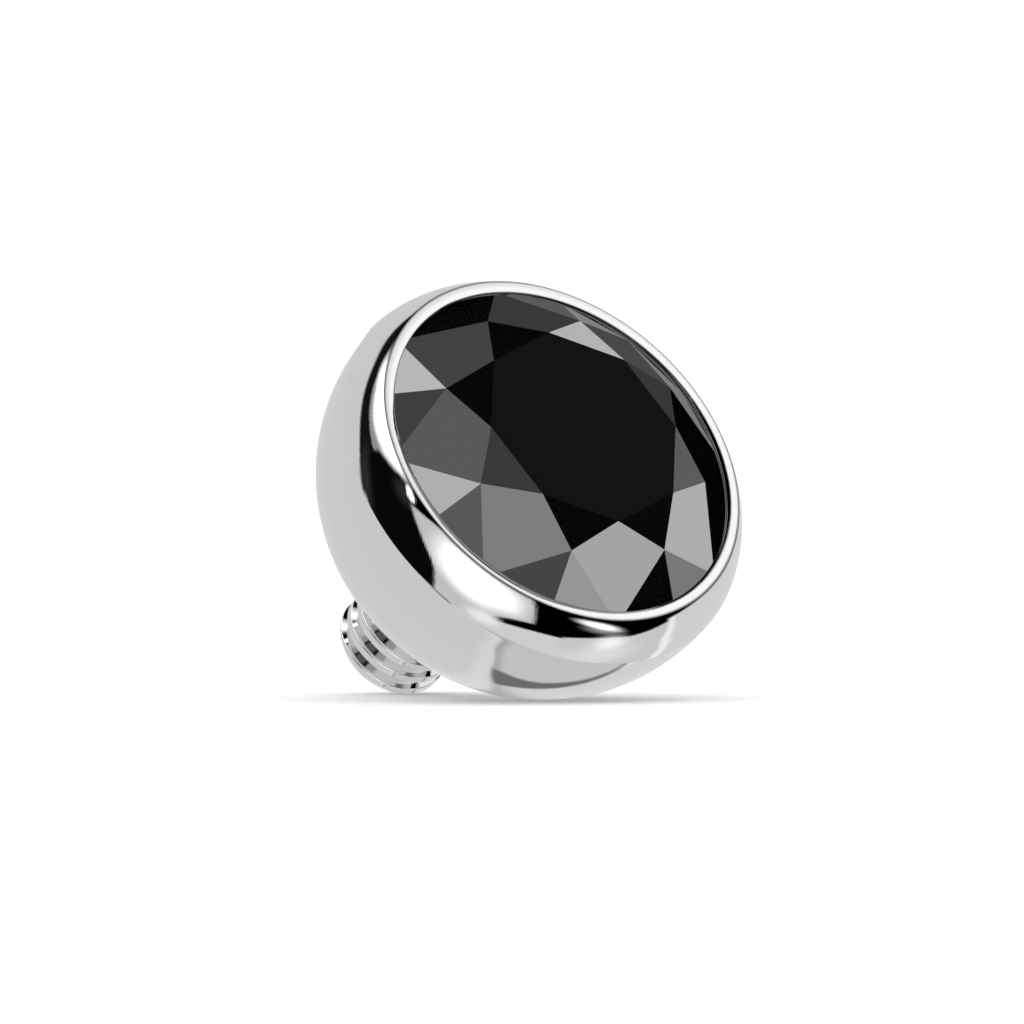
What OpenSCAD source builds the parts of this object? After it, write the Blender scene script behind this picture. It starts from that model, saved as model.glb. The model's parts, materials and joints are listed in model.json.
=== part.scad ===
/* [Head] */
// Widest diameter of the domed head
head_d = 4.6; // [4.4:0.05:5]
// Height of the head from its flat back to the rim
head_h = 2.37; // [2.3:0.01:2.5]
// Height of the crease between the dome and the front band
crease_h = 1.93; // [1.88:0.01:1.98]
// Radius of the dome's arc, seen from the side
dome_r = 2.12; // [2.08:0.01:2.18]
// Height of the centre of the dome's arc, where the head is widest
dome_h = 1.84; // [1.78:0.01:1.88]
// Radius of the front band's arc, seen from the side
band_r = 0.96; // [0.8:0.02:1.4]
// Outer diameter of the flat rim
rim_d = 4.12; // [4.06:0.01:4.2]
// Width of the small bevel on both edges of the rim
edge_break = 0.02; // [0.01:0.005:0.03]

/* [Stone] */
// Diameter of the stone at its girdle
stone_d = 4.04; // [4:0.01:4.08]
// Height of the stone's table above the rim
table_rise = 0.452; // [0.4:0.01:0.48]
// Table width, corner to corner, as a share of the stone's diameter
table_share = 0.566; // [0.53:0.005:0.6]
// Distance of the star facets' tips from the axis, as a share of the stone's radius
star_share = 0.744; // [0.72:0.002:0.76]
// Slope of the eight crown main facets
crown_angle = 34; // [32:0.5:35]
// Slope of the eight pavilion main facets
pavilion_angle = 40.75; // [40:0.25:42]
// Part of the pavilion that the lower girdle facets take up
lower_share = 0.77; // [0.7:0.01:0.85]
// Height of the girdle at the tips of the crown main facets
girdle_t = 0.1; // [0.09:0.01:0.12]
// Diameter of the small flat at the stone's point
culet_d = 0.08; // [0.05:0.01:0.15]
// Turn of the stone in its seat, in degrees
stone_turn = -0.42; // [-22.5:0.02:22.5]

/* [Seat] */
// Diameter of the opening in the rim, where the lip holds the stone
opening_d = 3.86; // [3.82:0.01:3.9]
// Gap between the stone and the metal around it
seat_gap = 0.015; // [0.01:0.001:0.02]

/* [Post] */
// Length of the post from the flat back to its tip
post_l = 1.7; // [1.6:0.01:2.5]
// Length of the plain neck between the flat back and the thread
neck_l = 0.2; // [0.15:0.01:0.25]
// Diameter of the neck, and of the thread's crests where they start
thread_d = 1.2; // [1.2:0.01:1.3]
// How much slimmer the crests are at the far end, so that the thread starts easily in its stem
thread_taper = 0.004; // [0.002:0.001:0.02]
// Diameter at the bottom of the thread's groove
root_d = 0.97; // [0.9:0.01:1]
// Distance from one turn of the thread to the next
pitch = 0.22; // [0.2:0.01:0.3]
// Width of the thread's flat crest, as a share of the pitch
crest_share = 0.4; // [0.35:0.05:0.55]
// Width of the groove's flat bottom, as a share of the pitch
root_share = 0.06; // [0.04:0.01:0.4]
// Distance from the flat back to the middle of the groove where it starts
thread_start = 0.27; // [0.22:0.01:0.35]
// Direction in which the groove starts, in degrees about the axis
thread_turn = 1; // [0:1:360]
// Turns that the groove makes before it fades out at the tip
thread_turns = 5; // [4.5:0.25:5]
// Radius of the rounded tip
tip_r = 0.7; // [0.66:0.01:0.74]

/* [Hidden] */

// Segments on a full circle
round_fn = 120;
// Turn of the round outline about its axis, so that a flat of its mesh lies down and not an edge
rest_turn = 4.3;
// How far a cutting shape runs past the surface that it cuts
over = 0.05;
// Facets of each kind around the stone, and the angle between two of them
facet_count = 8;
facet_step = 360 / facet_count;
half_step = facet_step / 2;
// Segments in one turn of the thread, and the part of a turn over which the groove fades in
turn_steps = 24;
fade_turns = 0.25;
// Corners of the groove's cross-section
corners = 4;

head_r = head_d / 2;
rim_r = rim_d / 2;
opening_r = opening_d / 2;
// Distance of the centre of the dome's arc from the axis
dome_off = head_r - dome_r;
// The crease, as distance from the axis
crease_r = dome_off + sqrt(dome_r ^ 2 - (crease_h - dome_h) ^ 2);

// The front band's arc runs through the crease and the rim's outer corner
band_chord = norm([rim_r - crease_r, head_h - crease_h]);
band_sink = sqrt(band_r ^ 2 - (band_chord / 2) ^ 2);
band_x = (crease_r + rim_r) / 2 - band_sink * (head_h - crease_h) / band_chord;
band_z = (crease_h + head_h) / 2 - band_sink * (crease_r - rim_r) / band_chord;

// The stone, in heights above the head's flat back
stone_r = stone_d / 2;
culet_r = culet_d / 2;
table_r = table_share * stone_r;
star_r = star_share * stone_r;
table_z = head_h + table_rise;
crown_z = table_z - (stone_r - table_r) * tan(crown_angle);
star_z = table_z - (star_r * cos(half_step) - table_r) * tan(crown_angle);
girdle_z = crown_z - girdle_t;
lower_r = (1 - lower_share) * stone_r;
lower_z = girdle_z - (stone_r - lower_r * cos(half_step)) * tan(pavilion_angle);
culet_z = girdle_z - (stone_r - culet_r) * tan(pavilion_angle);
apex_z = girdle_z - stone_r * tan(pavilion_angle);
// The facets run out past the girdle, which then cuts them off
outer_r = stone_r + over;
upper_z = crown_z - over * (star_z - crown_z) / (stone_r - star_r);
under_z = girdle_z + over * (girdle_z - lower_z) / (stone_r - lower_r);

// The seat keeps its gap at the edges between the pavilion facets, which stand out most
pocket_r = stone_r + seat_gap;
seat_slope = tan(pavilion_angle) * cos(half_step);
seat_z = apex_z - seat_gap;
lip_gap = seat_gap / cos(crown_angle);

// The thread
crest_r = thread_d / 2;
root_r = root_d / 2;
cut_r = crest_r + over;
tip_z = tip_r - post_l;
groove_root = root_share * pitch;
groove_crest = (1 - crest_share) * pitch;
groove_cut = groove_root + (groove_crest - groove_root) * (cut_r - root_r) / (crest_r - root_r);
// The groove's floor starts and ends here, just outside the crests, and lies at root_r between
fade_r = crest_r + over / 2;
thread_steps = thread_turns * turn_steps;

// The head lies on its dome and on the rounded tip, so both arcs touch the ground line
arcs_apart = dome_h - tip_z;
lie_tilt = asin((dome_r - tip_r) / norm([arcs_apart, dome_off])) + atan(dome_off / arcs_apart);
lie_lift = dome_r + dome_off * cos(lie_tilt) - dome_h * sin(lie_tilt);
front_reach = (rim_r - edge_break) * sin(lie_tilt) + head_h * cos(lie_tilt);
back_reach = tip_r - tip_z * cos(lie_tilt);

function polar(r, a, z) = [r * cos(a), r * sin(a), z];

// A ring of n points at radius r and height z, the first one at the angle a
function ring(n, r, a, z) = [for (i = [0 : n - 1]) polar(r, a + i * 360 / n, z)];

// The head and the post as one turned outline, with the seat for the stone left out
module setting_outline() {
    difference() {
        union() {
            dome_outline();
            band_outline();
            post_outline();
        }
        seat_outline();
        rim_bevel(rim_r, 1);
        rim_bevel(opening_r, -1);
    }
}

module dome_outline() {
    intersection() {
        translate([dome_off, dome_h]) circle(r = dome_r, $fn = round_fn);
        square([head_r + over, crease_h]);
    }
}

module band_outline() {
    intersection() {
        union() {
            translate([band_x, band_z]) circle(r = band_r, $fn = round_fn);
            translate([0, dome_h]) square([band_x, head_h]);
        }
        translate([0, crease_h - over]) square([crease_r, head_h - crease_h + over]);
    }
}

// The plain shaft, before the thread is cut, with its rounded tip
module post_outline() {
    intersection() {
        union() {
            translate([0, tip_z]) circle(r = tip_r, $fn = round_fn);
            translate([0, tip_z]) square([tip_r, -tip_z + over]);
        }
        polygon([
            [0, over],
            [crest_r, over],
            [crest_r, -neck_l],
            [crest_r - thread_taper / 2, -post_l],
            [0, -post_l]
        ]);
    }
}

module seat_outline() {
    polygon([
        [0, seat_z],
        [pocket_r, seat_z + pocket_r * seat_slope],
        [pocket_r, lip_z(pocket_r)],
        [opening_r, lip_z(opening_r)],
        [opening_r, head_h + over],
        [0, head_h + over]
    ]);
}

// Height of the lip's underside, which follows the crown main facets
function lip_z(r) = crown_z + (stone_r - r) * tan(crown_angle) + lip_gap;

// Takes the sharp corner off an edge of the rim; side is 1 where the open air is outside the edge
module rim_bevel(r, side) {
    polygon([
        [r + side * over, head_h - edge_break - over],
        [r + side * over, head_h + over],
        [r - side * (edge_break + over), head_h + over]
    ]);
}

// One cross-section of the groove, as four points in space at a step along the thread
function groove_section(step) =
    let (
        turns = step / turn_steps,
        a = thread_turn - turns * 360,
        z = -thread_start - turns * pitch,
        floor_r = root_r + (fade_r - root_r) * max(0, 1 - min(turns, thread_turns - turns) / fade_turns)
    )
    [
        polar(floor_r, a, z - groove_root / 2),
        polar(floor_r, a, z + groove_root / 2),
        polar(cut_r, a, z + groove_cut / 2),
        polar(cut_r, a, z - groove_cut / 2)
    ];

module thread_groove() {
    sections = [for (i = [0 : thread_steps]) groove_section(i)];
    last = corners * thread_steps;
    polyhedron(
        points = [for (s = sections) for (p = s) p],
        faces = concat(
            [[3, 2, 1, 0]],
            [for (i = [0 : thread_steps - 1], k = [0 : corners - 1]) each side_pair(corners * i, k)],
            [[last, last + 1, last + 2, last + 3]]
        ),
        convexity = 10
    );
}

// The two triangles between point k and the next one, on two sections that follow each other
function side_pair(base, k) =
    let (n = (k + 1) % corners, ahead = base + corners)
    [[base + k, base + n, ahead + n], [base + k, ahead + n, ahead + k]];

module bezel_setting() {
    color("gainsboro") lie_down() difference() {
        rotate([0, 0, rest_turn]) rotate_extrude($fn = round_fn) setting_outline();
        thread_groove();
    }
}

module gem() {
    color("black") lie_down() rotate([0, 0, stone_turn]) intersection() {
        translate([0, 0, culet_z]) cylinder(r = stone_r, h = table_z - culet_z, $fn = round_fn);
        faceted_stone();
    }
}

// All facets as one closed body, a little wider than the round stone
module faceted_stone() {
    n = facet_count;
    points = concat(
        ring(n, table_r, 0, table_z),
        ring(n, star_r, half_step, star_z),
        ring(n, stone_r, 0, crown_z),
        ring(2 * n, outer_r, 0, upper_z),
        ring(n, stone_r, 0, girdle_z),
        ring(n, lower_r, half_step, lower_z),
        ring(2 * n, outer_r, 0, under_z),
        [[0, 0, apex_z]]
    );
    // Where each ring starts in the list of points
    star = n;
    kite = 2 * n;
    upper = 3 * n;
    main = 5 * n;
    lower = 6 * n;
    under = 7 * n;
    apex = 9 * n;
    faces = concat(
        [[for (k = [0 : n - 1]) k]],
        [for (k = [0 : n - 1]) let (next = (k + 1) % n, prev = (k + n - 1) % n,
            ahead = (2 * k + 2) % (2 * n)) each [
            [k, star + k, next],
            [k, star + prev, kite + k, star + k],
            [star + k, kite + k, upper + 2 * k, upper + 2 * k + 1],
            [star + k, upper + 2 * k + 1, upper + ahead, kite + next],
            [lower + k, main + k, lower + prev, apex],
            [under + 2 * k + 1, under + 2 * k, main + k, lower + k],
            [main + next, under + ahead, under + 2 * k + 1, lower + k]
        ]],
        [for (j = [0 : 2 * n - 1]) let (next = (j + 1) % (2 * n))
            [upper + j, under + j, under + next, upper + next]]
    );
    polyhedron(points = points, faces = [for (f = faces) reversed(f)], convexity = 4);
}

function reversed(list) = [for (i = [len(list) - 1 : -1 : 0]) list[i]];

// Lays a piece down on the head's dome and the post's tip, with the stone facing the front
module lie_down() {
    translate([0, (front_reach - back_reach) / 2, lie_lift]) rotate([90 - lie_tilt, 0, 0]) children();
}

bezel_setting();
gem();
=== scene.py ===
import json
import math

import bmesh
import bpy
import numpy as np
from mathutils import Matrix, Vector


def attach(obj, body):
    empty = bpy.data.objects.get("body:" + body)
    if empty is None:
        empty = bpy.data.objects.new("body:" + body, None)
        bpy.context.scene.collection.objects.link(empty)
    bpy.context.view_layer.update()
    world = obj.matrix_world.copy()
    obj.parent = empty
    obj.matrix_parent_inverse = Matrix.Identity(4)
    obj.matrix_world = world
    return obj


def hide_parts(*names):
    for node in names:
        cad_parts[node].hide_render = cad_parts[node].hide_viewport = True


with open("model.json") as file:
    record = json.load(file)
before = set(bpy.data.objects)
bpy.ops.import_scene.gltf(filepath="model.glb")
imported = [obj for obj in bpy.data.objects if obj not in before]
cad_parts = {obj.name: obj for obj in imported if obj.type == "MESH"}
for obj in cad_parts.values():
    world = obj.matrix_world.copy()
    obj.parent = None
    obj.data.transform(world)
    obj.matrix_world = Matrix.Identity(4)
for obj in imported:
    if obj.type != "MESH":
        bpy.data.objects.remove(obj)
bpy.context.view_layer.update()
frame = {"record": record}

mm = 0.001  # the sizes below are millimetres, the scene is metres


# Where the part lies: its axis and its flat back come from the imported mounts

mounts = {mount["name"]: mount for mount in frame["record"]["mounts"]}
toTip = Vector(mounts["threaded_post"]["axis"]).normalized()
onAxis = Vector(mounts["threaded_post"]["pos_m"])
onBack = Vector(mounts["back_face"]["pos_m"])
backCentre = onAxis + toTip * (onBack - onAxis).dot(toTip)

stoneWay = -toTip  # from the flat back to the stone
across = Vector((1, 0, 0))
upAcross = stoneWay.cross(across)
turnPart = Matrix((across, upAcross, stoneWay)).transposed()
partPlace = Matrix.Translation(backCentre) @ turnPart.to_4x4() @ Matrix.Scale(mm, 4)


# Camera: the photo's angle, so far off that the picture is nearly without perspective

photoView = {
    "azimuth": -34.623,
    "elevation": 1.312,
    "pixelsPerMm": 97.85,
    "focalPixels": 20000,
    "framePixels": 1024,
    "rimCentre": (562.6, 450.4),  # where the middle of the rim stands in the picture
    "sensor": 36,
}


def viewAxes(azimuth, elevation):
    a, e = math.radians(azimuth), math.radians(elevation)
    back = Vector((math.sin(a) * math.cos(e), -math.cos(a) * math.cos(e), math.sin(e)))
    right = (-back).cross(Vector((0, 0, 1))).normalized()
    return right, right.cross(-back), back


def makeCamera(rimHeight):
    v = photoView
    right, up, back = viewAxes(v["azimuth"], v["elevation"])
    rimCentre = partPlace @ Vector((0, 0, rimHeight))
    distance = v["focalPixels"] / v["pixelsPerMm"] * mm
    middle = v["framePixels"] / 2
    aside = (v["rimCentre"][0] - middle) / v["pixelsPerMm"] * mm
    above = (middle - v["rimCentre"][1]) / v["pixelsPerMm"] * mm
    lens = bpy.data.cameras.new("photoCamera")
    lens.sensor_width = v["sensor"]
    lens.lens = v["focalPixels"] / v["framePixels"] * v["sensor"]
    lens.clip_start = distance / 20
    lens.clip_end = distance * 20
    camera = bpy.data.objects.new("photoCamera", lens)
    camera.location = rimCentre + back * distance - right * aside - up * above
    camera.rotation_mode = "QUATERNION"
    camera.rotation_quaternion = Matrix((right, up, back)).transposed().to_quaternion()
    bpy.context.scene.collection.objects.link(camera)
    bpy.context.scene.camera = camera


# Steel setting: one turned outline, with the thread's groove sunk into the post

settingForm = {
    "headWide": 4.6,
    "headTall": 2.37,
    "creaseTall": 1.93,
    "domeRadius": 2.12,
    "domeTall": 1.84,
    "bandRadius": 0.96,
    "rimWide": 4.12,
    "rimCrest": 2.046,  # radius of the rim's highest ring; it falls off softly to both sides
    "crestLean": 3,  # slopes beside that ring, then at the rim's outer and inner edge, in degrees
    "outerLean": 8,
    "innerLean": 22,
    "paintedEdgeShade": 0.018,  # reach of the painted shade line along the rim's two edges: the steel's colour is darkened there to stand in for shade
    "edgeDeep": 0.04,  # the line is looked for no further below the rim's top than this
    "crestRound": 0.06,
    "rimRound": 0.012,
    "creaseRound": 0.04,
    "footRound": 0.03,
    "pocketRound": 0.01,
    "axisGap": 0.001,  # the outline's first and last ring stand this far off the axis
    "columns": 256,
}

postForm = {
    "long": 1.7,
    "wide": 1.2,
    "rootWide": 0.97,
    "taper": 0.004,
    "neck": 0.18,  # the plain stretch before the rows that follow the thread
    "sunk": 0.03,  # the post's own mesh starts this far inside the head
    "neckRound": 0.02,
    "neckRoundSteps": 6,
    "neckRows": 4,
    "pitch": 0.22,
    "rootShare": 0.06,
    "crestShare": 0.4,
    "crestRound": 0.012,
    "rootRound": 0.004,
    "start": 0.27,
    "startTurn": 1,
    "turns": 5,  # the groove fades in over its first fadeTurns and out over its last
    "fadeTurns": 0.25,
    "tipRadius": 0.7,
    "threadEnd": 0.76,  # how far down the tip's ball, as a share of its radius, the thread's rows end
    "tipRows": 24,
    "tipFlat": 89,  # the last of them lies this many degrees down the ball
    "columns": 240,
}

seatForm = {
    "stoneWide": 4.04,
    "tableRise": 0.452,
    "tableShare": 0.566,
    "crownSlope": 34,
    "pavilionSlope": 40.75,
    "girdle": 0.1,
    "openingWide": 3.86,
    "gap": 0.015,
    "lipRound": 0.012,
}

stoneForm = {
    "facets": 8,  # of each kind
    "starShare": 0.744,
    "lowerShare": 0.77,
    "culetWide": 0.08,
    "turn": -0.42,
    "columns": 192,
    "edgeRound": 0.008,
    "leastEdge": 2,  # degrees between two facets from which their edge is rounded
    "blankSpare": 1,  # how much longer than the stone the blank is
    "weld": 0.00001,  # corners nearer than this become one
}

halfFacet = math.radians(180 / stoneForm["facets"])


def seatHeights():
    s, top = seatForm, settingForm["headTall"]
    radius = s["stoneWide"] / 2
    tableTall = top + s["tableRise"]
    crownTall = tableTall - radius * (1 - s["tableShare"]) * math.tan(math.radians(s["crownSlope"]))
    girdleTall = crownTall - s["girdle"]
    apexTall = girdleTall - radius * math.tan(math.radians(s["pavilionSlope"]))
    return radius, tableTall, crownTall, girdleTall, apexTall


def line(start, end, steps):
    return {"start": Vector(start), "end": Vector(end), "steps": steps}


def arc(centre, radius, angleFrom, angleTo, steps):
    return {"centre": Vector(centre), "radius": radius, "from": angleFrom, "to": angleTo, "steps": steps}


def runLength(run):
    if "centre" in run:
        return run["radius"] * abs(run["to"] - run["from"])
    return (run["end"] - run["start"]).length


def runPoint(run, share):
    if "centre" in run:
        a = run["from"] + (run["to"] - run["from"]) * share
        way = Vector((math.cos(a), math.sin(a)))
        return run["centre"] + way * run["radius"], way
    along = (run["end"] - run["start"]).normalized()
    return run["start"].lerp(run["end"], share), Vector((-along.y, along.x))


def roundedOutline(runs, rounds, roundSteps=6):
    # the open air is on the left of each run, and each corner between two runs is rounded
    trims = [[0, 1] for run in runs]
    for i, size in enumerate(rounds):
        before, after = runPoint(runs[i], 1)[1], runPoint(runs[i + 1], 0)[1]
        cut = size * math.tan(before.angle(after) / 2)
        trims[i][1] = 1 - cut / runLength(runs[i])
        trims[i + 1][0] = cut / runLength(runs[i + 1])
    rows = []
    for i, run in enumerate(runs):
        low, high = trims[i]
        for k in range(run["steps"] + 1):
            rows.append(runPoint(run, low + (high - low) * k / run["steps"]))
        if i < len(rounds):
            rows += cornerRows(rows[-1], runPoint(runs[i + 1], trims[i + 1][0]), rounds[i], roundSteps)
    return rows


def cornerRows(before, after, size, steps):
    (p, n), (q, m) = before, after
    side = -1 if n.x * m.y - n.y * m.x < 0 else 1  # -1 where the metal stands out, 1 in a hollow
    middle = p + n * size * side
    miss = q - (middle - m * size * side)
    rows = []
    for k in range(1, steps):
        way = n.slerp(m, k / steps)
        rows.append((middle - way * size * side + miss * k / steps, way))
    return rows


def settingOutline():
    s, g = settingForm, seatForm
    headR, rimR, openR = s["headWide"] / 2, s["rimWide"] / 2, g["openingWide"] / 2
    top, crease = s["headTall"], s["creaseTall"]
    domeOff = headR - s["domeRadius"]
    creaseUp = math.asin((crease - s["domeTall"]) / s["domeRadius"])
    creaseR = domeOff + s["domeRadius"] * math.cos(creaseUp)
    footDown = -math.asin(s["domeTall"] / s["domeRadius"])
    footR = domeOff + s["domeRadius"] * math.cos(footDown)
    crest, outer, inner = (math.radians(s[name]) for name in ("crestLean", "outerLean", "innerLean"))
    outerArc = (rimR - s["rimCrest"]) / (math.sin(outer) - math.sin(crest))
    innerArc = (s["rimCrest"] - openR) / (math.sin(inner) - math.sin(crest))
    rimTop = top - outerArc * (math.cos(crest) - math.cos(outer))
    lipTop = top - innerArc * (math.cos(crest) - math.cos(inner))
    upright = math.pi / 2
    outerMiddle = Vector((s["rimCrest"], top)) - outerArc * Vector((math.sin(crest), math.cos(crest)))
    innerMiddle = Vector((s["rimCrest"], top)) - innerArc * Vector((-math.sin(crest), math.cos(crest)))

    # the band's arc runs through the crease and the rim's outer corner
    chord = Vector((rimR - creaseR, rimTop - crease))
    sink = math.sqrt(s["bandRadius"] ** 2 - chord.length_squared / 4)
    inward = Vector((-chord.y, chord.x)).normalized()
    middle = Vector((creaseR, crease)) + chord / 2 + inward * sink
    bandTop = math.atan2(rimTop - middle.y, rimR - middle.x)
    bandLow = math.atan2(crease - middle.y, creaseR - middle.x)

    radius, tableTall, crownTall, girdleTall, apexTall = seatHeights()
    pocketR = radius + g["gap"]
    seatSlope = math.tan(math.radians(g["pavilionSlope"])) * math.cos(halfFacet)
    seatLow = apexTall - g["gap"]
    lipSlope = math.tan(math.radians(g["crownSlope"]))
    lipGap = g["gap"] / math.cos(math.radians(g["crownSlope"]))
    lipAt = lambda r: crownTall + (radius - r) * lipSlope + lipGap

    runs = [
        line((s["axisGap"], seatLow), (pocketR, seatLow + pocketR * seatSlope), 6),
        line((pocketR, seatLow + pocketR * seatSlope), (pocketR, lipAt(pocketR)), 2),
        line((pocketR, lipAt(pocketR)), (openR, lipAt(openR)), 3),
        line((openR, lipAt(openR)), (openR, lipTop), 3),
        arc(innerMiddle, innerArc, upright + inner, upright + crest, 8),
        arc(outerMiddle, outerArc, upright - crest, upright - outer, 6),
        arc(middle, s["bandRadius"], bandTop, bandLow, 22),
        arc((domeOff, s["domeTall"]), s["domeRadius"], creaseUp, footDown, 64),
        line((footR, 0), (s["axisGap"], 0), 12),
    ]
    rounds = [s["pocketRound"]] * 3 + [g["lipRound"]]
    rounds += [s[name] for name in ("crestRound", "rimRound", "creaseRound", "footRound")]
    return roundedOutline(runs, rounds)


def grooveSection():
    # one pitch of the thread, from crest to crest: place along the axis and distance from it
    p = postForm
    crestR, rootR, half = p["wide"] / 2, p["rootWide"] / 2, p["pitch"] / 2
    rootHalf, crestHalf = half * p["rootShare"], half * (1 - p["crestShare"])
    runs = [
        line((-half, crestR), (-crestHalf, crestR), 3),
        line((-crestHalf, crestR), (-rootHalf, rootR), 3),
        line((-rootHalf, rootR), (rootHalf, rootR), 4),
        line((rootHalf, rootR), (crestHalf, crestR), 3),
        line((crestHalf, crestR), (half, crestR), 3),
    ]
    rounds = [p["crestRound"], p["rootRound"], p["rootRound"], p["crestRound"]]
    return roundedOutline(runs, rounds)[:-1]


def tipOutline():
    # the ball that ends the post, below the last row of the thread
    p = postForm
    middle = p["long"] - p["tipRadius"]
    low, flat = math.asin(p["threadEnd"]), math.radians(p["tipFlat"])
    rows = []
    for k in range(p["tipRows"]):
        a = low + (flat - low) * k / (p["tipRows"] - 1)
        way = Vector((math.cos(a), -math.sin(a)))
        rows.append((way * p["tipRadius"] - Vector((0, middle)), way))
    return rows


def neckOutline():
    # from inside the head over the small fillet at the flat back to the plain neck
    p = postForm
    postR, size = p["wide"] / 2, p["neckRound"]
    middle = Vector((postR + size, -size))
    rows = [(Vector((postR + size, p["sunk"])), Vector((1, 0)))]
    for k in range(p["neckRoundSteps"] + 1):
        a = math.pi / 2 * (1 + k / p["neckRoundSteps"])
        way = Vector((math.cos(a), math.sin(a)))
        rows.append((middle + way * size, -way))
    for k in range(1, p["neckRows"] + 1):
        down = (p["neck"] - size) * k / p["neckRows"]
        rows.append((Vector((postR, -size - down)), Vector((1, 0))))
    return rows


def turnedRows(outline, cos, sin):
    # radii, heights and normals of an outline turned round the axis, one row of values per point
    flat = np.ones(len(cos))
    radii = np.array([point.x * flat for point, way in outline])
    heights = np.array([point.y * flat for point, way in outline])
    normals = np.array([[way.x * cos, way.x * sin, way.y * flat] for point, way in outline])
    return radii, heights, normals.transpose(0, 2, 1)


def ringPoints(outline, cos, sin):
    radii, heights, normals = turnedRows(outline, cos, sin)
    return np.stack([radii * cos, radii * sin, heights], axis=-1), normals


def quadRows(rows, count, first, clockwise):
    # faces between rings of points that are numbered ring after ring from first
    faces = []
    for row in range(rows - 1):
        for k in range(count):
            a, b = first + row * count + k, first + row * count + (k + 1) % count
            face = (a, a + count, b + count, b)
            faces.append(face[::-1] if clockwise else face)
    return faces


def capFaces(ring, count, middle, towardsStart):
    # a fan of faces that closes a ring round its middle point
    faces = [(ring + k, ring + (k + 1) % count, middle) for k in range(count)]
    return [face if towardsStart else face[::-1] for face in faces]


def makeHead():
    # two pieces that meet in the crease: the bezel with its pocket, and the dome with the flat back
    outline = settingOutline()
    crease = max(i for i, (point, way) in enumerate(outline) if point.y >= settingForm["creaseTall"])
    bezel = turnedPiece("bezelHead", outline[:crease + 1], True)
    dome = turnedPiece("headDome", outline[crease:], False)
    return bezel, dome


def turnedPiece(name, outline, closedAtStart):
    count = settingForm["columns"]
    angles = np.arange(count) / count * 2 * math.pi
    points, normals = ringPoints(outline, np.cos(angles), np.sin(angles))
    rows = len(points)
    capRow, capWay = (0, 1) if closedAtStart else (rows - 1, -1)
    faces = quadRows(rows, count, 0, False)
    faces += capFaces(capRow * count, count, rows * count, closedAtStart)
    points = np.vstack([points.reshape(-1, 3), [[0, 0, points[capRow, 0, 2]]]])
    normals = np.vstack([normals.reshape(-1, 3), [[0, 0, capWay]]])
    piece = meshPiece(name, points, faces, normals)
    # painted shade: how strongly each point on the rim's edges is darkened
    shadeLines = np.append(np.repeat([paintedEdgeShade(point) for point, way in outline], count), 0)
    attribute = piece.data.attributes.new("paintedEdgeShade", "FLOAT", "POINT")
    attribute.data.foreach_set("value", shadeLines.astype(np.float32))
    return piece


def paintedEdgeShade(point):
    # 1 on the rim's outer and inner edge, fading to 0 beside them; it darkens the steel's colour into a
    # painted shade line
    s = settingForm
    away = min(abs(point.x - s["rimWide"] / 2), abs(point.x - seatForm["openingWide"] / 2))
    return max(0, 1 - away / s["paintedEdgeShade"]) if s["headTall"] - point.y < s["edgeDeep"] else 0


def threadRows(cos, sin, turned):
    # the thread's rows follow it round like a stair; one depth, point and normal per row and column
    p = postForm
    section = grooveSection()
    middle = p["long"] - p["tipRadius"]
    threadEnd = middle + p["tipRadius"] * p["threadEnd"]
    turns = np.arange(-2, math.ceil((threadEnd - p["start"]) / p["pitch"] + 0.5) + 1)
    place = np.repeat(turns, len(section))[:, None] + turned
    sectionAt = lambda values: np.tile(np.array(values), len(turns))[:, None]
    depth = p["start"] + p["pitch"] * place + sectionAt([point.x for point, way in section])
    # how deep the groove is cut, as a share
    cut = np.clip(np.minimum(place, p["turns"] - place) / p["fadeTurns"], 0, 1)
    crestR = p["wide"] / 2
    radius = crestR - (crestR - sectionAt([point.y for point, way in section])) * cut
    radius = radius - p["taper"] / 2 * np.clip((depth - p["neck"]) / (p["long"] - p["neck"]), 0, 1)
    down = sectionAt([way.x for point, way in section]) * cut
    out = sectionAt([way.y for point, way in section]) + 0 * cut
    side = -down * p["pitch"] / (2 * math.pi * radius)
    past = np.clip(depth - middle, 0, p["tipRadius"])
    ball = np.sqrt(p["tipRadius"] ** 2 - past ** 2)
    onBall = ball < radius
    radius = np.minimum(radius, ball)
    down, out, side = (np.where(onBall, a, b) for a, b in ((past, down), (ball, out), (0, side)))
    normals = np.stack([out * cos + side * sin, out * sin - side * cos, -down], axis=-1)
    normals /= np.linalg.norm(normals, axis=-1)[..., None]
    points = np.stack([radius * cos, radius * sin, -depth], axis=-1)
    return depth, points, normals, len(section), threadEnd


def threadFaces(ids, count, pitchRows):
    # faces between the thread's rows, without those that shrink to nothing in the neck or the tip
    faces = []
    for row in range(len(ids) - 1):
        for k in range(count):
            after, step = (k + 1, 0) if k + 1 < count else (0, pitchRows)  # one turn on is one pitch down
            if row + step + 1 < len(ids):
                face = (ids[row, k], ids[row + step, after], ids[row + step + 1, after], ids[row + 1, k])
                face = tuple(int(i) for i in dict.fromkeys(face))
                if len(face) > 2:
                    faces.append(face)
    return faces


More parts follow.
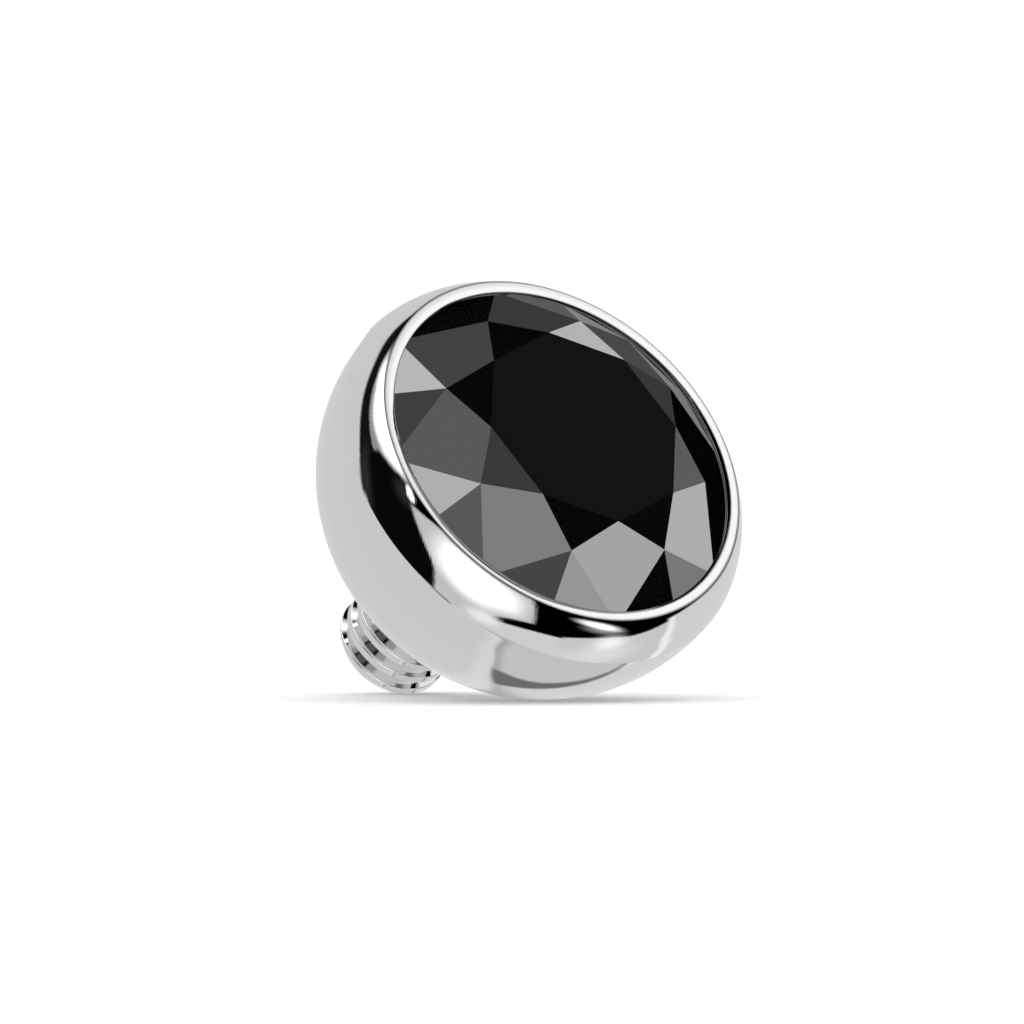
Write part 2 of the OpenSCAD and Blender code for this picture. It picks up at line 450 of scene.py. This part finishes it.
def makePost():
    p = postForm
    count = p["columns"]
    turned = np.arange(count) / count
    angles = math.radians(p["startTurn"]) - turned * 2 * math.pi  # the way the thread runs as it goes down
    cos, sin = np.cos(angles), np.sin(angles)
    neckPoints, neckNormals = ringPoints(neckOutline(), cos, sin)
    tipPoints, tipNormals = ringPoints(tipOutline(), cos, sin)
    depth, rowPoints, rowNormals, pitchRows, threadEnd = threadRows(cos, sin, turned)

    # rows above the neck's last ring or below the tip's first ring end in that ring
    columns = np.arange(count) + 0 * depth.astype(int)
    neckEnd, tipStart = (len(neckPoints) - 1) * count, len(neckPoints) * count
    middleStart = tipStart + len(tipPoints) * count
    ids = middleStart + np.arange(depth.size).reshape(depth.shape)
    ids = np.where(depth <= p["neck"], neckEnd + columns, ids)
    ids = np.where(depth >= threadEnd, tipStart + columns, ids)
    faces = quadRows(len(neckPoints), count, 0, True) + quadRows(len(tipPoints), count, tipStart, True)
    faces += threadFaces(ids, count, pitchRows)
    points = np.vstack([a.reshape(-1, 3) for a in (neckPoints, tipPoints, rowPoints)])
    normals = np.vstack([a.reshape(-1, 3) for a in (neckNormals, tipNormals, rowNormals)])
    last = len(points)
    points = np.vstack([points, [[0, 0, p["sunk"]], [0, 0, -p["long"]]]])
    normals = np.vstack([normals, [[0, 0, 1], [0, 0, -1]]])
    faces += capFaces(0, count, last, False) + capFaces(middleStart - count, count, last + 1, True)
    used = np.unique([i for face in faces for i in face])
    renumbered = np.zeros(len(points), int)
    renumbered[used] = np.arange(len(used))
    faces = [tuple(int(renumbered[i]) for i in face) for face in faces]
    return meshPiece("threadedPost", points[used], faces, normals[used])


def meshPiece(name, points, faces, normals):
    mesh = bpy.data.meshes.new(name)
    mesh.from_pydata([partPlace @ Vector(p) for p in points], [], faces)
    mesh.update()
    mesh.shade_smooth()
    turned = [turnPart @ Vector(n) for n in normals]
    mesh.normals_split_custom_set_from_vertices(turned)
    piece = bpy.data.objects.new(name, mesh)
    bpy.context.scene.collection.objects.link(piece)
    return piece


# Black stone: a round blank, cut flat facet by facet as a cutter does it

def facetPlanes():
    s, g = stoneForm, seatForm
    radius, tableTall, crownTall, girdleTall, apexTall = seatHeights()
    tableR = radius * g["tableShare"]
    starR = radius * s["starShare"]
    crown = math.tan(math.radians(g["crownSlope"]))
    pavilion = math.tan(math.radians(g["pavilionSlope"]))
    starTall = tableTall - (starR * math.cos(halfFacet) - tableR) * crown
    lowerR = radius * (1 - s["lowerShare"])
    lowerTall = girdleTall - (radius - lowerR * math.cos(halfFacet)) * pavilion
    culetTall = girdleTall - (radius - s["culetWide"] / 2) * pavilion

    def at(r, a, z):
        return Vector((r * math.cos(a), r * math.sin(a), z))

    planes = [(at(0, 0, tableTall), Vector((0, 0, 1))), (at(0, 0, culetTall), Vector((0, 0, -1)))]
    for k in range(s["facets"]):
        a = math.radians(s["turn"] + 360 / s["facets"] * k)
        middle, ahead = a + halfFacet, a + 2 * halfFacet
        tableTip, nextTip = at(tableR, a, tableTall), at(tableR, ahead, tableTall)
        starTip, rimMiddle = at(starR, middle, starTall), at(radius, middle, crownTall)
        kiteTip, nextKite = at(radius, a, crownTall), at(radius, ahead, crownTall)
        lowerTip, lowMiddle = at(lowerR, middle, lowerTall), at(radius, middle, girdleTall)
        mainTip, nextMain = at(radius, a, girdleTall), at(radius, ahead, girdleTall)
        planes.append((tableTip, Vector((math.cos(a), math.sin(a), 1 / crown))))
        planes.append(threePoints(tableTip, starTip, nextTip))
        planes.append(threePoints(starTip, kiteTip, rimMiddle))
        planes.append(threePoints(starTip, rimMiddle, nextKite))
        planes.append((mainTip, Vector((math.cos(a), math.sin(a), -1 / pavilion))))
        planes.append(threePoints(lowerTip, lowMiddle, mainTip))
        planes.append(threePoints(lowerTip, nextMain, lowMiddle))
    return planes


def threePoints(a, b, c):
    # the plane through three corners, facing away from a point inside the stone
    way = (b - a).cross(c - a)
    outward = a - Vector((0, 0, settingForm["headTall"] - 1))
    return a, way if way.dot(outward) > 0 else -way


def makeStone():
    s = stoneForm
    radius, tableTall, crownTall, girdleTall, apexTall = seatHeights()
    cut = bmesh.new()
    bmesh.ops.create_cone(
        cut, cap_ends=True, segments=s["columns"], radius1=radius, radius2=radius,
        depth=tableTall - apexTall + s["blankSpare"],
        matrix=Matrix.Translation((0, 0, (tableTall + apexTall) / 2)),
    )
    for point, way in facetPlanes():
        geometry = cut.verts[:] + cut.edges[:] + cut.faces[:]
        result = bmesh.ops.bisect_plane(
            cut, geom=geometry, plane_co=point, plane_no=way.normalized(), clear_outer=True,
        )
        rimEdges = [e for e in result["geom_cut"] if isinstance(e, bmesh.types.BMEdge)]
        if rimEdges:
            bmesh.ops.edgeloop_fill(cut, edges=rimEdges)
    bmesh.ops.remove_doubles(cut, verts=cut.verts[:], dist=s["weld"])
    bmesh.ops.recalc_face_normals(cut, faces=cut.faces[:])
    isGirdle = lambda face: abs(face.normal.z) < 0.01
    sharp = [
        e for e in cut.edges
        if len(e.link_faces) == 2 and not any(isGirdle(f) for f in e.link_faces)
        and e.calc_face_angle() > math.radians(s["leastEdge"])
    ]
    bmesh.ops.bevel(
        cut, geom=sharp, offset=s["edgeRound"], offset_type="OFFSET", segments=1, profile=0.5,
        affect="EDGES", clamp_overlap=True,
    )
    bmesh.ops.recalc_face_normals(cut, faces=cut.faces[:])
    normals = []
    for vert in cut.verts:
        widest = max(vert.link_faces, key=lambda f: f.calc_area())
        normals.append(widest.normal.copy())
    cut.verts.index_update()
    points = [v.co.copy() for v in cut.verts]
    faces = [tuple(v.index for v in f.verts) for f in cut.faces]
    cut.free()
    return meshPiece("blackStone", points, faces, normals)


# Materials

def newMaterial(name):
    material = bpy.data.materials.new(name)
    material.use_nodes = True
    return material, material.node_tree.nodes, material.node_tree.links


polishMarks = {
    "hairs": [(14.0, 4, 0.4), (11.2, 3, 1.9)],  # two sets of hairlines: scale, detail, tilt
    "hairStretch": 9.0,
    "hairWindow": (1.1, 1.35),  # a mark shows where its noise rises through its window
    "hairRoughness": 0.05,
    "cloudScale": 1.7,
    "cloudWindow": (0.45, 0.75),
    "speckScale": 22.0,
    "speckWindow": (0.77, 0.82),
}


def polishGroup():
    # hairlines, faint clouds and dust specks that any polished surface keeps, scaled in millimetres
    m = polishMarks
    group = bpy.data.node_groups.new("polishMarks", "ShaderNodeTree")
    make = group.interface.new_socket
    make(name="Hairlines", in_out="INPUT", socket_type="NodeSocketFloat").default_value = 0.5
    make(name="Clouds", in_out="INPUT", socket_type="NodeSocketFloat").default_value = 0.5
    make(name="Base Roughness", in_out="INPUT", socket_type="NodeSocketFloat").default_value = 0.03
    make(name="Roughness", in_out="OUTPUT", socket_type="NodeSocketFloat")
    make(name="Height", in_out="OUTPUT", socket_type="NodeSocketFloat")
    make(name="Dust", in_out="OUTPUT", socket_type="NodeSocketFloat")
    nodes, links = group.nodes, group.links
    given, out = nodes.new("NodeGroupInput"), nodes.new("NodeGroupOutput")
    coords = nodes.new("ShaderNodeTexCoord")
    toMm = nodes.new("ShaderNodeVectorMath")
    toMm.operation = "SCALE"
    toMm.inputs["Scale"].default_value = 1 / mm
    links.new(coords.outputs["Object"], toMm.inputs[0])

    def noise(scale, detail, stretch=None, tilt=0.0):
        texture = nodes.new("ShaderNodeTexNoise")
        texture.inputs["Scale"].default_value = scale
        texture.inputs["Detail"].default_value = detail
        source = toMm.outputs[0]
        if stretch:
            mapping = nodes.new("ShaderNodeMapping")
            mapping.inputs["Rotation"].default_value = (tilt, tilt * 0.7, tilt * 1.3)
            mapping.inputs["Scale"].default_value = (stretch, 1 / stretch, 1)
            links.new(source, mapping.inputs["Vector"])
            source = mapping.outputs["Vector"]
        links.new(source, texture.inputs["Vector"])
        return texture.outputs["Fac"]

    def calc(operation, a, b):
        node = nodes.new("ShaderNodeMath")
        node.operation = operation
        for socket, value in zip(node.inputs, (a, b)):
            if isinstance(value, (int, float)):
                socket.default_value = value
            else:
                links.new(value, socket)
        return node.outputs[0]

    def window(value, limits):
        node = nodes.new("ShaderNodeMapRange")
        node.interpolation_type = "SMOOTHSTEP"
        node.inputs["From Min"].default_value, node.inputs["From Max"].default_value = limits
        links.new(value, node.inputs["Value"])
        return node.outputs["Result"]

    sets = [noise(scale, detail, m["hairStretch"], tilt) for scale, detail, tilt in m["hairs"]]
    hairs = calc("ADD", *sets)
    clouds = noise(m["cloudScale"], detail=3)
    specks = window(noise(m["speckScale"], detail=1), m["speckWindow"])
    rough = calc("MULTIPLY", window(clouds, m["cloudWindow"]), given.outputs["Clouds"])
    hairRough = calc("MULTIPLY", given.outputs["Hairlines"], m["hairRoughness"])
    rough = calc("ADD", rough, calc("MULTIPLY", window(hairs, m["hairWindow"]), hairRough))
    links.new(calc("ADD", given.outputs["Base Roughness"], rough), out.inputs["Roughness"])
    links.new(calc("MULTIPLY", hairs, given.outputs["Hairlines"]), out.inputs["Height"])
    links.new(specks, out.inputs["Dust"])
    return group


steelLook = {
    "colour": (0.80, 0.80, 0.80, 1),
    "dust": (0.74, 0.74, 0.745, 1),
    "line": (0.02, 0.02, 0.02, 1),  # painted shade: the dark colour of the line along the rim's two edges
    "roughness": 0.02,
    "hairlines": 0.4,
    "clouds": 0.02,
    "bump": 0.00002,
    "bumpStrength": 0.02,
}

stoneLook = {
    "colour": (0.0022, 0.0022, 0.0024, 1),
    "dust": (0.012, 0.012, 0.012, 1),
    "roughness": 0.004,
    "hairlines": 0.12,
    "clouds": 0.01,
    "refraction": 2.15,
}


def mixColours(nodes, links, factor, first, second):
    mix = nodes.new("ShaderNodeMix")
    mix.data_type = "RGBA"
    for socket, value in (("A", first), ("B", second)):
        if isinstance(value, tuple):
            mix.inputs[socket].default_value = value
        else:
            links.new(value, mix.inputs[socket])
    links.new(factor, mix.inputs["Factor"])
    return mix.outputs["Result"]


def markedMaterial(name, look, group):
    # the marks give the roughness, and the colour comes back with their dust specks in it
    material, nodes, links = newMaterial(name)
    marks = nodes.new("ShaderNodeGroup")
    marks.node_tree = group
    marks.inputs["Hairlines"].default_value = look["hairlines"]
    marks.inputs["Clouds"].default_value = look["clouds"]
    marks.inputs["Base Roughness"].default_value = look["roughness"]
    dusted = mixColours(nodes, links, marks.outputs["Dust"], look["colour"], look["dust"])
    links.new(marks.outputs["Roughness"], nodes["Principled BSDF"].inputs["Roughness"])
    return material, nodes, links, marks, dusted


def polishedSteel(group):
    look = steelLook
    material, nodes, links, marks, dusted = markedMaterial("polishedSteel", look, group)
    shader = nodes["Principled BSDF"]
    shader.inputs["Metallic"].default_value = 1
    # painted shade: the steel's colour darkens to a thin dark line along the rim's two edges
    shadeLines = nodes.new("ShaderNodeAttribute")
    shadeLines.attribute_name = "paintedEdgeShade"
    edgeShaded = mixColours(nodes, links, shadeLines.outputs["Fac"], dusted, look["line"])
    links.new(edgeShaded, shader.inputs["Base Color"])
    bump = nodes.new("ShaderNodeBump")
    bump.inputs["Distance"].default_value = look["bump"]
    bump.inputs["Strength"].default_value = look["bumpStrength"]
    links.new(marks.outputs["Height"], bump.inputs["Height"])
    links.new(bump.outputs["Normal"], shader.inputs["Normal"])
    return material


def blackGem(group):
    look = stoneLook
    material, nodes, links, marks, dusted = markedMaterial("blackGem", look, group)
    shader = nodes["Principled BSDF"]
    shader.inputs["IOR"].default_value = look["refraction"]
    links.new(dusted, shader.inputs["Base Color"])
    return material


# Studio: a dome of soft boxes, cards and black flags round the part, seen only in reflections.
# turn is the way round from the camera, to its right, and rise is the height above the studio's
# own level, which leans with the camera; both are in degrees.

studio = {
    "radius": 0.3,
    "lean": 2.942,  # the camera looks down on that level at this angle
    # how fine the dome's mesh is: from, to and step in degrees, finest where the cards' edges show
    "turnSteps": [(-180, -95, 1.25), (-95, -25, 0.5), (-25, 110, 0.75), (110, 180, 1.4)],
    "riseSteps": [(-90, -78, 2), (-78, -58, 0.7), (-58, 36, 0.65), (36, 66, 0.9), (66, 90, 3)],
}


def gridSteps(steps):
    values = [np.arange(round((end - start) / step)) * step + start for start, end, step in steps]
    return np.concatenate(values)


def curved(corners, steps=5):
    # a smooth closed line through the given corners
    smooth = []
    count = len(corners)
    for i in range(count):
        a, b, c, d = (np.array(corners[(i + k) % count], float) for k in (-1, 0, 1, 2))
        for k in range(steps):
            t = k / steps
            bend = (2 * a - 5 * b + 4 * c - d) * t ** 2 + (3 * b - a - 3 * c + d) * t ** 3
            smooth.append(b + 0.5 * ((c - a) * t + bend))
    return smooth


def cardMask(turns, rises, corners, soft):
    # 1 inside the card, 0 outside, with an edge as wide as soft
    corners = np.array(corners, float)
    middle = (corners.min(0) + corners.max(0)) / 2
    u = (turns - middle[0] + 180) % 360 - 180
    v = rises - middle[1]
    nearest = np.full_like(u, 1e9)
    inside = np.zeros(u.shape, bool)
    shape = corners - middle
    for (a, b), (c, d) in zip(shape, np.roll(shape, -1, 0)):
        along = ((u - a) * (c - a) + (v - b) * (d - b)) / ((c - a) ** 2 + (d - b) ** 2)
        along = np.clip(along, 0, 1)
        nearest = np.minimum(nearest, np.hypot(u - a - along * (c - a), v - b - along * (d - b)))
        if b != d:
            inside ^= ((b > v) != (d > v)) & (u < (c - a) * (v - b) / (d - b) + a)
    t = np.clip(0.5 + np.where(inside, nearest, -nearest) / soft, 0, 1)
    return t * t * (3 - 2 * t)


def spotMask(turns, rises, spot, soft):
    # 1 in the middle of an oval spot, 0 outside, with an edge as wide as soft times its half width
    turn, rise, wide, tall, lean = spot
    u = (turns - turn + 180) % 360 - 180
    v = rises - rise
    c, s = math.cos(math.radians(lean)), math.sin(math.radians(lean))
    p, q = (u * c + v * s) / (wide / 2), (v * c - u * s) / (tall / 2)
    t = np.clip((1 + soft - np.hypot(p, q)) / (2 * soft), 0, 1)
    return t * t * (3 - 2 * t)


# each card: level, width of its soft edge in degrees, corners; a later card lies over earlier ones
studioCards = [
    ("stripeHaze", 0.3, 12, [(-26, -44), (-6, -44), (-6, -54), (-26, -54)]),
    ("sweep", 0.76, 2, [(-400, -51.7), (400, -51.7), (400, -120), (-400, -120)]),
    ("zenith", 0.85, 4, [(-400, 86), (400, 86), (400, 120), (-400, 120)]),
    ("zenithFront", 1.3, 2.5, [(-100, 78.5), (100, 78.5), (100, 88), (-100, 88)]),
    ("lowWall", 0.70, 1.5, [
        (104, -19), (91, -31), (84, -36), (73, -40), (60, -44.5), (44, -50), (44, -62), (150, -62),
        (150, -40), (122, -32),
    ]),
    ("rightEdge", 1.05, 1.5, [
        (98, -21), (106, -16.5), (125, -6), (180, 8), (190, 0), (190, -60), (140, -43), (112, -35),
    ]),
    ("rightWall", 0.76, 3, [
        (101, -20), (107, -15.5), (125, -5), (180, 8), (240, 0), (240, -70), (140, -38.5),
        (115, -31),
    ]),
    ("topCard", 0.34, 6, [
        (-190, 62), (-170, 62), (-66, 29), (-31, 28.5), (2, 34), (-25, 66), (-90, 85), (-190, 85),
    ]),
    ("topBox", 3.2, 11, [
        (-150, 70), (-120, 64), (-92, 57), (-73, 46), (-55, 38), (-33, 34), (-10, 31), (-8, 42),
        (-22, 50), (-46, 56), (-68, 66), (-85, 80), (-135, 81),
    ]),
    ("blackFrame", 0.008, 1.5, [
        (-194, 20), (-190, 50), (-170, 56), (-150, 59.5), (-130, 60.5), (-105, 56), (-92, 49),
        (-80, 41), (-67, 31), (-60, -30), (-170, -30),
    ]),
    ("frontCard", 0.65, 2, [
        (-36, 18.5), (-20, 14), (-12, 12), (28.5, -13), (26, -17), (25, -26), (23.5, -36),
        (21.5, -43), (6, -44), (-3, -46), (-10, -48), (-17, -50.6), (-18, -53), (-90, -53),
        (-60, 0),
    ]),
    ("frontBox", 1.7, 22, curved([
        (-15, 3), (-4, 2), (5, -5), (14, -17), (15, -26), (10, -35), (-2, -37), (-14, -37),
        (-24, -29), (-26, -12),
    ])),
    ("leftFlag", 0.003, 2.5, curved([
        (-68, 32), (-45, 31.5), (-36, 29.5), (-34, 20), (-33.2, 0), (-34.5, -18), (-42, -30),
        (-51, -38.5), (-58, -48), (-90, -52), (-86, 0),
    ])),
    ("lowDark", 0.66, 4, [
        (150, -47), (210, -44), (275, -50), (290, -84), (230, -95), (130, -95), (120, -60),
    ]),
    ("backdropShade", 0.42, 7, curved([
        (-190, 15), (-180, 36), (-164, 44), (-140, 46), (-120, 46), (-103, 38), (-88, 24), (-85, 6),
        (-86, -20), (-80, -62), (-92, -79.5), (-121, -77), (-151, -67), (-167, -49), (-177, -25),
        (-184, 0),
    ])),
    ("wedge", 0.18, 2.5, [
        (143, -46), (165, -43), (180, -41.5), (210, -38), (212, -60), (196, -57.5), (180, -51),
        (165, -47.5),
    ]),
    ("backdropEdge", 0.80, 0.5, curved([
        (-190, 15), (-177, 37), (-164, 47), (-140, 50), (-120, 49.5), (-103, 42), (-88, 28),
        (-84, 8), (-84, -20), (-78, -60), (-90, -77), (-120, -74), (-148, -66), (-165, -48),
        (-173, -30), (-180, 0),
    ])),
    ("backdrop", 0.71, 3.5, curved([
        (-182, 15), (-176, 37), (-164, 48), (-140, 51), (-120, 50.5), (-103, 43), (-88, 29),
        (-83, 8), (-83, -20), (-77, -60), (-90, -73), (-117, -69), (-142, -61), (-159, -46),
        (-168, -27), (-176, 0),
    ])),
]

# each spot: level, softness, then its turn, rise, width, height and lean; they lie over the cards
studioSpots = [
    ("backLight", 1.25, 0.5, (-176, 7, 14, 18, 0)),
    ("flagHaze", 0.03, 0.9, (-78, 14, 10, 26, 0)),
    ("glintHaze", 0.03, 0.9, (-38, 22, 14, 12, 0)),
    ("lowBounce", 0.9, 0.9, (88, -56, 40, 24, 0)),
    ("lowPatch", 1.15, 0.8, (77, -45.5, 17, 13, 0)),
    ("lowLeft", 1.0, 0.6, (-20, -51, 26, 12, 0)),
    ("postCard", 0.42, 0.2, (-62, -43, 14, 20, 38)),
    ("postCardHigh", 0.4, 0.3, (-81, -2, 5, 14, 0)),
    ("postShade", 0.13, 0.25, (-73, -20, 7, 25, 14)),
    ("postGlow", 0.95, 0.3, (82, 7, 28, 9, 0)),
    ("frontGlint", 1.6, 0.35, (-31.5, 24, 6, 9, 0)),
    ("glintBloom", 0.35, 1, (64, -34, 18, 6, 0)),
    ("lowGlint", 1.8, 0.75, (60, -29.6, 21, 5.2, -10)),
    ("rimLight", 1.18, 0.12, (95, 45, 92, 50, 0)),
    ("rimShade", 0.94, 0.6, (95.6, 44, 40, 18, 0)),
    ("rimHole", 0.03, 0.2, (95.6, 48.4, 10, 6, 0)),
    ("kiteRight", 2.4, 0.4, (117, 5.5, 9, 9, 0)),
    ("kiteRightLow", 1.12, 0.4, (111, -3.6, 8, 6, 0)),
    ("kiteLow", 2.7, 0.3, (66, -2.5, 14, 8, 10)),
    ("halfLow", 2.25, 0.4, (55, -11, 9, 6, 0)),
    ("kiteFront", 1.54, 0.4, (22, 15, 9, 9, 0)),
    ("halfFront", 0.72, 0.4, (3.6, 15, 8, 8, 0)),
    ("halfFrontLow", 0.43, 0.4, (27, -2.3, 6, 6, 0)),
    ("starHigh", 2.2, 0.4, (149, 41, 10, 10, 0)),
    ("starHighSide", 0.17, 0.4, (141, 28, 8, 8, 0)),
    ("starRight", 0.60, 0.4, (120, 23, 9, 9, 0)),
    ("starLow", 0.003, 0.4, (88.8, 19.5, 8, 5, 0)),
    ("kiteBackHigh", 0.15, 0.4, (170, 34, 8, 8, 0)),
    ("backGlowA", 0.15, 0.4, (170, 15, 14, 10, 0)),
    ("backGlowB", 0.30, 0.4, (173, 4, 14, 7, 0)),
    ("halfBackHigh", 0.002, 0.3, (177.4, 35, 6, 7, 0)),
    ("starFront", 0.29, 0.4, (35, 47, 10, 10, 0)),
    ("kiteFrontHigh", 0.73, 0.4, (-13, 55, 10, 10, 0)),
]


def makeStudio():
    right, up, back = viewAxes(photoView["azimuth"], photoView["elevation"])
    lean = math.radians(studio["lean"])
    towards = back * math.cos(lean) - up * math.sin(lean)
    above = back * math.sin(lean) + up * math.cos(lean)
    turns = gridSteps(studio["turnSteps"])
    rises = np.append(gridSteps(studio["riseSteps"]), 90)
    turnGrid, riseGrid = np.meshgrid(turns, rises)
    level = np.zeros_like(turnGrid)
    for name, brightness, soft, corners in studioCards:
        level += (brightness - level) * cardMask(turnGrid, riseGrid, corners, soft)
    for name, brightness, soft, spot in studioSpots:
        level += (brightness - level) * spotMask(turnGrid, riseGrid, spot, soft)
    t, e = np.radians(turnGrid), np.radians(riseGrid)
    aimed = ((np.cos(e) * np.cos(t), towards), (np.cos(e) * np.sin(t), right), (np.sin(e), above))
    ways = sum(share[..., None] * np.array(axis) for share, axis in aimed)

    count, rows = len(turns), len(rises) - 1
    points = (ways * studio["radius"]).reshape(-1, 3)
    faces = []
    for row in range(rows):
        for k in range(count):
            a, b = row * count + k, row * count + (k + 1) % count
            faces.append((a, b, b + count, a + count))
    mesh = bpy.data.meshes.new("studioDome")
    mesh.from_pydata(points.tolist(), [], faces)
    mesh.update()
    glow = mesh.attributes.new("glow", "FLOAT", "POINT")
    glow.data.foreach_set("value", level.ravel().astype(np.float32))
    dome = bpy.data.objects.new("studioDome", mesh)
    dome.location = partPlace @ Vector((0, 0, settingForm["headTall"] / 2))
    bpy.context.scene.collection.objects.link(dome)
    material, nodes, links = newMaterial("studioLight")
    nodes.remove(nodes["Principled BSDF"])
    glowIn = nodes.new("ShaderNodeAttribute")
    glowIn.attribute_name = "glow"
    emission = nodes.new("ShaderNodeEmission")
    links.new(glowIn.outputs["Fac"], emission.inputs["Strength"])
    links.new(emission.outputs[0], nodes["Material Output"].inputs["Surface"])
    material.cycles.emission_sampling = "NONE"
    mesh.materials.append(material)
    dome.visible_camera = False
    dome.visible_diffuse = False
    dome.visible_shadow = False
    dome.visible_transmission = False


floorLook = {"wide": 1.2, "colour": (0.93, 0.93, 0.93, 1), "light": 1.35}


def makeFloor():
    size = floorLook["wide"]
    mesh = bpy.data.meshes.new("studioFloor")
    corners = [(-size, -size, 0), (size, -size, 0), (size, size, 0), (-size, size, 0)]
    mesh.from_pydata(corners, [], [(0, 1, 2, 3)])
    floor = bpy.data.objects.new("studioFloor", mesh)
    bpy.context.scene.collection.objects.link(floor)
    material, nodes, links = newMaterial("paleFloor")
    shader = nodes["Principled BSDF"]
    shader.inputs["Base Color"].default_value = floorLook["colour"]
    shader.inputs["Roughness"].default_value = 1
    shader.inputs["Specular IOR Level"].default_value = 0
    mesh.materials.append(material)
    floor.visible_glossy = False
    world = bpy.data.worlds.new("studioAir")
    bpy.context.scene.world = world
    world.use_nodes = True
    air = world.node_tree.nodes["Background"]
    air.inputs["Color"].default_value = (1, 1, 1, 1)
    air.inputs["Strength"].default_value = floorLook["light"]
    world.cycles_visibility.glossy = False


makeCamera(settingForm["headTall"])
print("camera placed")

head, headDome = makeHead()
post = makePost()
stone = makeStone()
head.visible_glossy = False  # the stone's facets show the studio right up to the lip
for piece in (head, headDome, post, stone):
    print("piece made:", piece.name, len(piece.data.polygons), "faces")

marksGroup = polishGroup()
steel = polishedSteel(marksGroup)
for piece in (head, headDome, post):
    piece.data.materials.append(steel)
    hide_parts("bezel_setting")
    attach(piece, "root")
stone.data.materials.append(blackGem(marksGroup))
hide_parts("gem")
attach(stone, "root")
print("materials made")

makeStudio()
makeFloor()
bpy.context.scene.view_settings.view_transform = "Standard"
print("studio lit")
